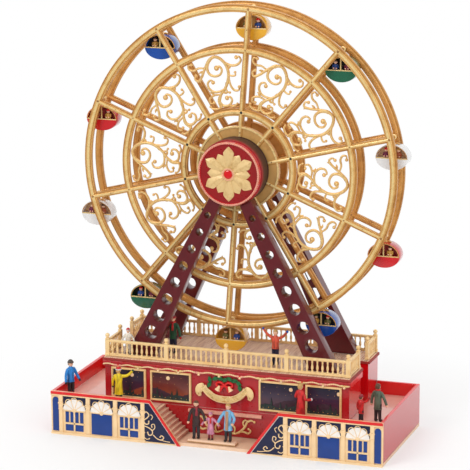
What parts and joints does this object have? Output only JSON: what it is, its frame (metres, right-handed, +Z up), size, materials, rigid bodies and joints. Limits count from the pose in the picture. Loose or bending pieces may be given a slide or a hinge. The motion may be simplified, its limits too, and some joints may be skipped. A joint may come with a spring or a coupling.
{
  "type": "table-top ferris wheel toy",
  "caption": "Table-top ferris wheel with hanging cars on a railed house and terraces, turned by a small hand crank at the back through gears and a belt.",
  "frame": {"origin": "middle of the base's flat underside", "axes": "+Z up, -Y towards the front with the stairs, the wheel's axle along Y, +X to the right seen from the front"},
  "size_m": [0.3206, 0.1506, 0.3997],
  "materials": {
    "black_plastic": "matt",
    "belt_rubber": "matt round belt",
    "red_plastic": "semi-gloss paint",
    "maroon_plastic": "gloss paint",
    "steel": "plain drawn wire and rod",
    "pale_gold_plastic": "pale gold paint, worn to brown in the hollows",
    "cream_plastic": "satin cream paint",
    "figure_plastic": "hand-painted, satin",
    "gold_plastic": "antique gold paint",
    "yellow_plastic": "gloss paint",
    "green_plastic": "gloss paint",
    "white_plastic": "gloss paint",
    "blue_plastic": "gloss paint"
  },
  "bodies": {
    "base": {"base_plate": "black_plastic", "base_tray": "red_plastic", "left_facade": "cream_plastic", "right_facade": "cream_plastic", "left_stairs": "cream_plastic", "right_stairs": "cream_plastic", "house_walls": "red_plastic", "deck": "cream_plastic", "cornice": "red_plastic", "picture_1": "pale_gold_plastic", "picture_2": "pale_gold_plastic", "picture_3": "pale_gold_plastic", "picture_4": "pale_gold_plastic", "ribbon_and_sprig": "pale_gold_plastic", "front_railing": "pale_gold_plastic", "rear_railing": "pale_gold_plastic", "left_front_side_railing": "pale_gold_plastic", "left_rear_side_railing": "pale_gold_plastic", "right_front_side_railing": "pale_gold_plastic", "right_rear_side_railing": "pale_gold_plastic", "front_left_leg": "maroon_plastic", "front_right_leg": "maroon_plastic", "rear_left_leg": "maroon_plastic", "rear_right_leg": "maroon_plastic", "front_hub_drum": "maroon_plastic", "rear_hub_drum": "maroon_plastic", "front_hub_cap": "red_plastic", "hub_flower": "pale_gold_plastic", "rear_hub_cap": "red_plastic", "bearing_plate": "steel", "drive_belt": "belt_rubber", "left_terrace_man": "figure_plastic", "left_terrace_child": "figure_plastic", "right_terrace_woman": "figure_plastic", "right_terrace_pair": "figure_plastic", "deck_child_left": "figure_plastic", "deck_man": "figure_plastic", "deck_child_right": "figure_plastic", "court_family": "figure_plastic"},
    "wheel": {"front_wheel_frame": "gold_plastic", "rear_wheel_frame": "gold_plastic", "axle": "steel"},
    "gondola_1": {"gondola_1": "yellow_plastic"},
    "gondola_2": {"gondola_2": "green_plastic"},
    "gondola_3": {"gondola_3": "white_plastic"},
    "gondola_4": {"gondola_4": "red_plastic"},
    "gondola_5": {"gondola_5": "blue_plastic"},
    "gondola_6": {"gondola_6": "yellow_plastic"},
    "gondola_7": {"gondola_7": "green_plastic"},
    "gondola_8": {"gondola_8": "white_plastic"},
    "gondola_9": {"gondola_9": "red_plastic"},
    "gondola_10": {"gondola_10": "blue_plastic"},
    "drive_shaft": {"drive_shaft": "steel", "drive_gear": "pale_gold_plastic"},
    "crank": {"crank_wire": "steel", "crank_pinion": "pale_gold_plastic"},
    "crank_knob": {"crank_knob": "red_plastic"}
  },
  "joints": [
    {"name": "wheel_spin", "type": "hinge", "parent": "base", "child": "wheel", "pos_m": [0, 0.0218, 0.2485], "axis": [0, 1, 0], "continuous": true},
    {"name": "gondola_1_swing", "type": "hinge", "parent": "wheel", "child": "gondola_1", "pos_m": [0.01066, 0.0218, 0.39612], "axis": [0, 1, 0], "continuous": true},
    {"name": "gondola_2_swing", "type": "hinge", "parent": "wheel", "child": "gondola_2", "pos_m": [0.09539, 0.0218, 0.36166], "axis": [0, 1, 0], "continuous": true},
    {"name": "gondola_3_swing", "type": "hinge", "parent": "wheel", "child": "gondola_3", "pos_m": [0.14369, 0.0218, 0.28398], "axis": [0, 1, 0], "continuous": true},
    {"name": "gondola_4_swing", "type": "hinge", "parent": "wheel", "child": "gondola_4", "pos_m": [0.1371, 0.0218, 0.19275], "axis": [0, 1, 0], "continuous": true},
    {"name": "gondola_5_swing", "type": "hinge", "parent": "wheel", "child": "gondola_5", "pos_m": [0.07814, 0.0218, 0.12281], "axis": [0, 1, 0], "continuous": true},
    {"name": "gondola_6_swing", "type": "hinge", "parent": "wheel", "child": "gondola_6", "pos_m": [-0.01066, 0.0218, 0.10088], "axis": [0, 1, 0], "continuous": true},
    {"name": "gondola_7_swing", "type": "hinge", "parent": "wheel", "child": "gondola_7", "pos_m": [-0.09539, 0.0218, 0.13534], "axis": [0, 1, 0], "continuous": true},
    {"name": "gondola_8_swing", "type": "hinge", "parent": "wheel", "child": "gondola_8", "pos_m": [-0.14369, 0.0218, 0.21302], "axis": [0, 1, 0], "continuous": true},
    {"name": "gondola_9_swing", "type": "hinge", "parent": "wheel", "child": "gondola_9", "pos_m": [-0.1371, 0.0218, 0.30425], "axis": [0, 1, 0], "continuous": true},
    {"name": "gondola_10_swing", "type": "hinge", "parent": "wheel", "child": "gondola_10", "pos_m": [-0.07814, 0.0218, 0.37419], "axis": [0, 1, 0], "continuous": true},
    {"name": "drive_shaft_spin", "type": "hinge", "parent": "base", "child": "drive_shaft", "pos_m": [0.10169, 0.0457, 0.0445], "axis": [0, 1, 0], "continuous": true},
    {"name": "crank_spin", "type": "hinge", "parent": "base", "child": "crank", "pos_m": [0.08489, 0.0457, 0.0445], "axis": [0, 1, 0], "continuous": true},
    {"name": "knob_spin", "type": "hinge", "parent": "crank", "child": "crank_knob", "pos_m": [0.08489, 0.079, 0.0235], "axis": [0, 1, 0], "continuous": true}
  ],
  "couplings": [
    {"joint": "gondola_1_swing", "follows": "wheel_spin", "ratio": -1},
    {"joint": "gondola_2_swing", "follows": "wheel_spin", "ratio": -1},
    {"joint": "gondola_3_swing", "follows": "wheel_spin", "ratio": -1},
    {"joint": "gondola_4_swing", "follows": "wheel_spin", "ratio": -1},
    {"joint": "gondola_5_swing", "follows": "wheel_spin", "ratio": -1},
    {"joint": "gondola_6_swing", "follows": "wheel_spin", "ratio": -1},
    {"joint": "gondola_7_swing", "follows": "wheel_spin", "ratio": -1},
    {"joint": "gondola_8_swing", "follows": "wheel_spin", "ratio": -1},
    {"joint": "gondola_9_swing", "follows": "wheel_spin", "ratio": -1},
    {"joint": "gondola_10_swing", "follows": "wheel_spin", "ratio": -1},
    {"joint": "drive_shaft_spin", "follows": "wheel_spin", "ratio": 1},
    {"joint": "crank_spin", "follows": "wheel_spin", "ratio": -3}
  ]
}
